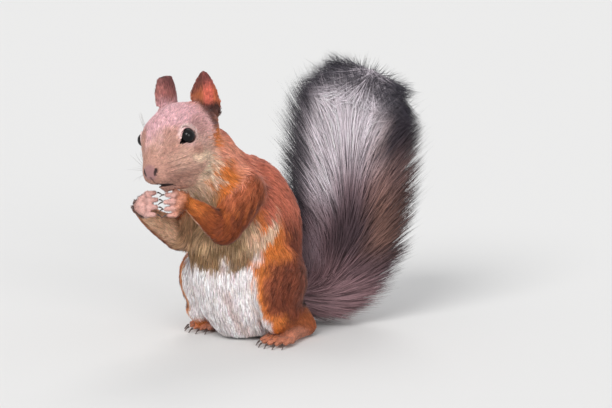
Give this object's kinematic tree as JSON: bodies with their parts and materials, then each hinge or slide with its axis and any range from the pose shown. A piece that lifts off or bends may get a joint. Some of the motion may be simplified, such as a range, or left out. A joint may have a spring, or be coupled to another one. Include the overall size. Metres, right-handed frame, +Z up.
{
  "type": "red squirrel model",
  "caption": "Life-size red squirrel sitting up on its haunches, hands held together below the chin and bushy tail raised behind.",
  "frame": {"origin": "on the floor, under the middle of the whole model's box", "axes": "+Z up; the animal faces -Y; its left side is +X; the tail rises at +Y"},
  "size_m": [0.0916, 0.1938, 0.1662],
  "materials": {
    "coat_back": "short dense fur",
    "coat_limbs": "short dense fur",
    "coat_face": "very short fur",
    "coat_tail": "long loose hair",
    "bare_skin": "thinly haired skin",
    "eye": "wet black gloss",
    "claw": "horn, slightly polished"
  },
  "bodies": {
    "root": {"trunk": "coat_back", "neck": "coat_limbs", "head": "coat_face", "lower_jaw": "coat_face", "eye_left": "eye", "ear_left": "coat_face", "upper_arm_left": "coat_back", "forearm_left": "coat_limbs", "hand_left": "bare_skin", "hand_claw_left_1": "claw", "hand_claw_left_2": "claw", "hand_claw_left_3": "claw", "hand_claw_left_4": "claw", "thigh_left": "coat_limbs", "shank_left": "coat_limbs", "foot_left": "bare_skin", "foot_claw_left_1": "claw", "foot_claw_left_2": "claw", "foot_claw_left_3": "claw", "foot_claw_left_4": "claw", "foot_claw_left_5": "claw", "eye_right": "eye", "ear_right": "coat_face", "upper_arm_right": "coat_back", "forearm_right": "coat_limbs", "hand_right": "bare_skin", "hand_claw_right_1": "claw", "hand_claw_right_2": "claw", "hand_claw_right_3": "claw", "hand_claw_right_4": "claw", "thigh_right": "coat_limbs", "shank_right": "coat_limbs", "foot_right": "bare_skin", "foot_claw_right_1": "claw", "foot_claw_right_2": "claw", "foot_claw_right_3": "claw", "foot_claw_right_4": "claw", "foot_claw_right_5": "claw", "tail_base": "coat_tail", "tail_middle": "coat_tail", "tail_tip": "coat_tail"}
  },
  "joints": []
}
